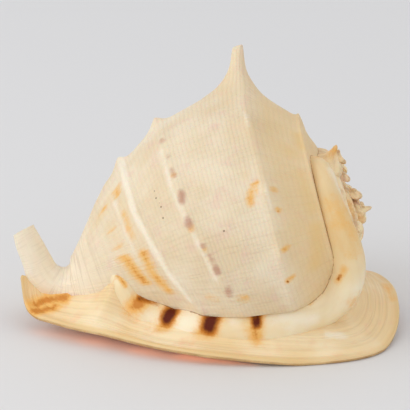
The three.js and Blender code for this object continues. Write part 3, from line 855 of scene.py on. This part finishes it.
# On the body whorl: places along the axis and coil angles that the mark runs through, then its half width in
# millimetres and its strength.
bodyMarks = {
    "purple": [
        ([(-112.5, 352), (-111, 349)], 2.4, 0.5), ([(-111.2, 341), (-110.6, 338)], 2.4, 0.5),
        ([(-110.8, 331), (-110.2, 327)], 2.4, 0.5),
        ([(-109.2, 317), (-110.2, 314.5)], 4.0, 1.0), ([(-110, 304.5), (-110.4, 302)], 4.2, 0.9),
        ([(-105.8, 291)], 3.0, 0.9),
        ([(-102.2, 279.4), (-102.2, 278)], 3.6, 1.0), ([(-99, 267.5), (-100.5, 265.5)], 4.4, 0.75),
        ([(-104, 286), (-103, 283)], 2.2, 0.4),
        ([(-104, 262), (-100, 261)], 3.0, 0.4),
    ],
    "orange": [
        ([(-67, 304.5), (-64.5, 308.5)], 3.4, 0.65), ([(-63, 311), (-58.8, 311.5)], 1.8, 0.6),
        ([(-60, 311), (-61, 307.5)], 1.6, 0.5),
        ([(-50.4, 307.2)], 2.4, 0.75), ([(-51.1, 298.4)], 2.0, 0.9), ([(-109.6, 301), (-110.6, 300.4)], 2.8, 0.8),
        ([(-105.4, 289.6)], 2.2, 0.7), ([(-110.4, 328)], 2.0, 0.5), ([(-93, 262), (-88, 262)], 1.6, 0.6),
        ([(-53.8, 280.5), (-51.5, 281)], 2.2, 0.6), ([(-57, 265.5), (-52.2, 266)], 2.2, 0.9),
        ([(-114, 264.5), (-110, 263)], 3.5, 0.25), ([(-94, 261.5), (-90, 261)], 3.5, 0.25),
        ([(-148.8, 352), (-149.2, 347)], 3.6, 0.6), ([(-150.1, 330), (-150.9, 310)], 2.6, 0.45),
        ([(-149.3, 298), (-149.3, 286), (-146.2, 276.3), (-142.9, 270)], 4.6, 0.8),
        ([(-159.7, 349)], 3.4, 0.7), ([(-159.5, 325)], 3.0, 0.5), ([(-160, 310)], 2.8, 0.45),
        ([(-159.4, 301), (-158.3, 292.3), (-156.9, 283.2), (-155.4, 277)], 3.6, 0.95),
    ],
    "soft": [
        ([(-33, 286), (-35, 274), (-39, 265)], 7.0, 1.0), ([(-36.7, 331.3)], 10.0, 0.6), ([(-65.7, 317)], 5.0, 0.7),
        ([(-31, 347), (-30.5, 336)], 5.0, 0.7), ([(-149.3, 340), (-149.3, 286), (-143, 268)], 6.5, 0.5),
        ([(-159.5, 330), (-158.3, 292), (-155, 275)], 6.0, 0.5), ([(-34, 318), (-32, 296)], 6.0, 0.6),
        ([(-155, 352), (-162, 345)], 9.0, 0.7),
        ([(-70, 376), (-66, 350)], 6.0, 0.3),
    ],
    "brown": [([(-51.1, 298.2)], 0.8, 0.7), ([(-56.8, 265.2)], 0.8, 0.6)],
    "paleAndHighlight": [
        ([(-138.5, 380), (-142, 342), (-143.6, 323), (-141, 302.5), (-137, 280), (-130, 262)], 3.6, 1.0),
        ([(-114, 345), (-114.5, 320), (-109.5, 295), (-105, 272)], 3.2, 0.55),
        # painted highlights along the first cord's ridge, below the horn and at the second knob
        ([(-58, 350), (-56, 338)], 2.6, 0.5), ([(-54, 310), (-54.5, 300)], 2.6, 0.5),
        ([(-152.5, 345), (-154, 300)], 2.5, 0.5),
    ],
}
# Elsewhere: points in millimetres, half width, strength.
otherMarks = {
    "brown": [
        ([(-39.5, -54.2, 30), (-34, -54.6, 28.6), (-29.5, -56, 27.6)], 2.6, 1.2),
        ([(-20.6, -59.6, 25.4), (-23.6, -60.7, 19.2)], 5.0, 1.1),
        ([(3.0, -71.3, 25.6), (1.0, -72.8, 18.6)], 5.4, 1.1), ([(28.3, -75.6, 28), (28.7, -77.2, 21.6)], 3.4, 1.0),
        ([(-20, -60.2, 25.6), (-14, -61.6, 26.2)], 1.6, 0.7), ([(62, -68, 32.6), (66.5, -66, 35.6)], 1.0, 0.5),
        ([(76.4, -66.0, 45.4), (77.6, -66.6, 48)], 1.2, 0.5),
    ],
    "orange": [
        ([(-34, -53.5, 31), (-44.2, -55.3, 23.6)], 7.4, 1.4), ([(-20.6, -59.6, 25.4), (-24, -60.9, 17.6)], 8.6, 1.5),
        ([(3.0, -71.3, 25.6), (0.4, -73, 16.6)], 8.8, 1.5), ([(28.3, -75.6, 28), (28.9, -78.4, 15)], 6.6, 1.4),
        ([(-20, -60.2, 25.6), (-13.6, -61.6, 26.2)], 2.6, 1.0), ([(60, -68.4, 31), (68, -65.4, 36.8)], 1.8, 1.0),
        ([(76.6, -66.2, 45), (79.6, -67.6, 52)], 3.0, 1.0), ([(-53.6, -47, 42.8), (-48.4, -52, 36)], 1.9, 1.2),
        ([(-104, -27, 16.6), (-97, -24, 17.6), (-85.6, -26, 19)], 6.6, 1.6),
        ([(-103, -32.4, 14), (-97, -31, 14.6), (-92, -30.4, 15.6)], 6.4, 1.5),
        ([(77.2, -60.2, 86.2), (83, -62.4, 77.7), (86.6, -64.1, 70.3)], 10.0, 0.32),
        ([(87.9, -63.9, 31.8)], 6.0, 0.4),
        ([(64.9, -30, 109), (72, -24, 110), (80, -20, 112)], 5.0, 0.7), ([(92, -30, 60), (94, -22, 66)], 6.0, 0.5),
        ([(84, -24, 74), (80, -28, 84)], 5.0, 0.6),
        ([(112, -19, 15.6), (109, -1, 18.8)], 3.0, 0.5),
    ],
    "purple": [([(84.7, -28.8, 88.4), (81, -17, 92)], 8.0, 0.4), ([(90, -17, 77)], 4.0, 0.5)],
    "paleAndHighlight": [
        # painted highlight along the upper right of the old lip's callus
        ([(72.4, -42.4, 105.6), (76.2, -48.5, 97.3), (80, -53.6, 88)], 4.2, 0.55),
        ([(36, -76, 24), (62, -72, 23)], 9.0, 0.6),
        ([(71, -70, 13), (80, -66, 9)], 4.5, 0.9), ([(-8, -64, 21), (-11, -63, 19)], 5.0, 0.5),
        ([(15, -74, 22)], 6.0, 0.5),
    ],
}


def strength(marks, points, stretch):
    # how strongly the marks colour each point: 1 in a mark's middle, 0 at its edge, below 0 outside
    field = np.full(len(points), -1.0)
    for path, wide, strong in marks:
        line = [np.array(p, float) for p in path]
        for a, b in zip(line, line[1:] or line):
            run = (b - a) * stretch
            t = np.clip(((points - a) * stretch) @ run / max(run @ run, 1e-9), 0, 1)
            far = np.linalg.norm((points - a) * stretch - t[:, None] * run, axis=1)
            near = 1 - far / wide
            field = np.maximum(field, np.where(near > 0, near * strong, near))
    return field


whorlScale = (1, 1.35)  # a degree is about 1.35 mm round the whorl
tones = {
    # from where a tone is nil to where it is full: place along the axis
    "ramp": (-60, -46), "canal": (-163, -185),
    # height
    "callusTop": (40, 66), "lipFoot": (12, 2),
    # distance from the shield's margin, negative on its underside
    "rim": (3.5, 1.7), "underside": (-2, -10), "shadeUnderRim": (-5, -2),
}
# strength of the painted shade in concave edges, deeper where the body whorl meets another growth
creases = {"angle": math.radians(35), "deepFrom": -0.04, "deep": 1.0, "slight": 0.4}


def rise(span, v):
    return np.clip((v - span[0]) / (span[1] - span[0]), 0, 1)


def paint(piece):
    mesh = piece.data
    count = len(mesh.loops)
    corner = np.zeros(count, np.int32)
    mesh.loops.foreach_get("vertex_index", corner)
    spots = np.zeros(len(mesh.vertices) * 3)
    mesh.vertices.foreach_get("co", spots)
    spots = spots.reshape(-1, 3)[corner] / mm
    chart = np.zeros(count * 2, np.float32)
    mesh.uv_layers["growth"].data.foreach_get("uv", chart)
    coilPlace = chart.reshape(-1, 2).astype(float) * (100, 360)
    owner = np.zeros(count, np.int32)
    for face in mesh.polygons:
        owner[face.loop_start:face.loop_start + face.loop_total] = face.material_index
    names = [m.name for m in mesh.materials]
    onBody = owner == names.index("driedShell")
    onCallus = owner == names.index("polishedCallus")
    onShield = owner == names.index("enamelShield")
    onLip = owner == names.index("enamelLip")
    layers = []
    # brown, orange, purple, and pale marks that include painted highlights
    for kind in ("brown", "orange", "purple", "paleAndHighlight"):
        field = strength(otherMarks[kind], spots, (1, 1, 1))
        field[onBody] = strength(bodyMarks[kind], coilPlace[onBody], whorlScale)
        layers.append(field)
    stain = mesh.attributes.new("stain", "FLOAT_COLOR", "CORNER")
    stain.data.foreach_set("color", np.stack(layers, 1).astype(np.float32).ravel())

    x, angle = coilPlace[:, 0], coilPlace[:, 1]
    height = spots[:, 2]
    ramp = onBody * rise(tones["ramp"], x) * 0.6
    soft = strength(bodyMarks["soft"], coilPlace, whorlScale)
    ramp = np.minimum(ramp + onBody * np.clip(soft, 0, 1) * 0.5, 1)
    ramp = ramp + onCallus * rise(tones["callusTop"], height) * 0.75
    # the shield's rim is darker
    fromRim = angle / 3.6
    ramp = ramp + onShield * rise(tones["rim"], np.abs(fromRim)) * 0.8
    canal = onBody * rise(tones["canal"], x)
    peach = onShield * rise(tones["underside"], fromRim)
    peach = peach + onLip * rise(tones["lipFoot"], height) * 0.8
    # dirt and painted shade gather where two growths meet
    creaseShade = np.zeros(len(mesh.vertices))
    bm = bmesh.new()
    bm.from_mesh(mesh)
    dried = names.index("driedShell")
    for edge in bm.edges:
        if len(edge.link_faces) == 2 and edge.calc_face_angle_signed(0) < -creases["angle"]:
            sides = {face.material_index for face in edge.link_faces}
            for v in edge.verts:
                deep = dried in sides and len(sides) > 1 and v.co.x > creases["deepFrom"]
                creaseShade[v.index] = max(creaseShade[v.index], creases["deep" if deep else "slight"])
    bm.free()
    # painted shade on the shield's underside just inside its rim
    shadeUnderRim = onShield * (fromRim < 0) * rise(tones["shadeUnderRim"], fromRim)
    shade = np.maximum(creaseShade[corner], shadeUnderRim * 0.7)
    tone = mesh.attributes.new("tone", "FLOAT_COLOR", "CORNER")
    tone.data.foreach_set("color", np.stack([ramp, canal, shade, peach], 1).astype(np.float32).ravel())


paint(shell)
print("stains")
shell.name = "hornedShell"
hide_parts("shell")
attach(shell, "root")

# floor, lights and camera
for left in [o for o in bpy.data.objects if o.name in ("Cube", "Light", "Camera")]:
    bpy.data.objects.remove(left)
studio = {
    "floor": "#e4e3e2", "floorSize": 4, "sky": "#f7f8fb", "skyStrength": 0.85, "aim": (0, 0, 0.05),
    # power in watts, size, place
    "lamps": {
        "key": (10.5, 1.6, (-1.7, -0.5, 1.0)),
        "fill": (1.0, 1.5, (1.4, -1.0, 1.0)),
        "front": (2.6, 1.0, (-0.5, -1.5, 0.35)),
    },
}
# daylight that has come through the thin margin and falls on the floor as a peach glow
glow = {
    "colour": "#ff9f70", "power": 0.0005, "size": (0.05, 0.006), "turn": (-25, 0, -22),
    "spots": [(-0.082, -0.041, 0.0072), (-0.053, -0.057, 0.0066), (-0.023, -0.073, 0.0052), (0.006, -0.081, 0.0032)],
}
view = {"lens": 218.8, "down": math.radians(18), "distance": 1.5, "target": (-0.00133, -0.01093, 0.0732)}
plane = bmesh.new()
bmesh.ops.create_grid(plane, x_segments=1, y_segments=1, size=studio["floorSize"])
floorMesh = bpy.data.meshes.new("floor")
plane.to_mesh(floorMesh)
plane.free()
floor = bpy.data.objects.new("floor", floorMesh)
bpy.context.scene.collection.objects.link(floor)
paper = bpy.data.materials.new("mattePaper")
paper.use_nodes = True
paper.node_tree.nodes["Principled BSDF"].inputs["Base Color"].default_value = linear(studio["floor"])
paper.node_tree.nodes["Principled BSDF"].inputs["Roughness"].default_value = 0.9
floor.data.materials.append(paper)
world = bpy.data.worlds.new("studio")
bpy.context.scene.world = world
world.use_nodes = True
world.node_tree.nodes["Background"].inputs[0].default_value = linear(studio["sky"])
world.node_tree.nodes["Background"].inputs[1].default_value = studio["skyStrength"]
for name, (power, size, spot) in studio["lamps"].items():
    lamp = bpy.data.lights.new(name, "AREA")
    lamp.energy, lamp.size = power, size
    light = bpy.data.objects.new(name, lamp)
    light.location = spot
    light.rotation_euler = (Vector(studio["aim"]) - light.location).to_track_quat("-Z", "Y").to_euler()
    bpy.context.scene.collection.objects.link(light)
for i, spot in enumerate(glow["spots"]):
    lamp = bpy.data.lights.new("marginGlow%d" % i, "AREA")
    lamp.energy, lamp.color, lamp.shape = glow["power"], linear(glow["colour"])[:3], "RECTANGLE"
    lamp.size, lamp.size_y = glow["size"]
    light = bpy.data.objects.new(lamp.name, lamp)
    light.location = spot
    light.rotation_euler = [math.radians(turn) for turn in glow["turn"]]
    bpy.context.scene.collection.objects.link(light)
camera = bpy.data.objects.new("camera", bpy.data.cameras.new("camera"))
bpy.context.scene.collection.objects.link(camera)
camera.data.lens = view["lens"]
forward = Vector((0, math.cos(view["down"]), -math.sin(view["down"])))
camera.location = Vector(view["target"]) - forward * view["distance"]
camera.rotation_euler = forward.to_track_quat("-Z", "Y").to_euler()
bpy.context.scene.camera = camera
bpy.context.scene.view_settings.view_transform = "Standard"
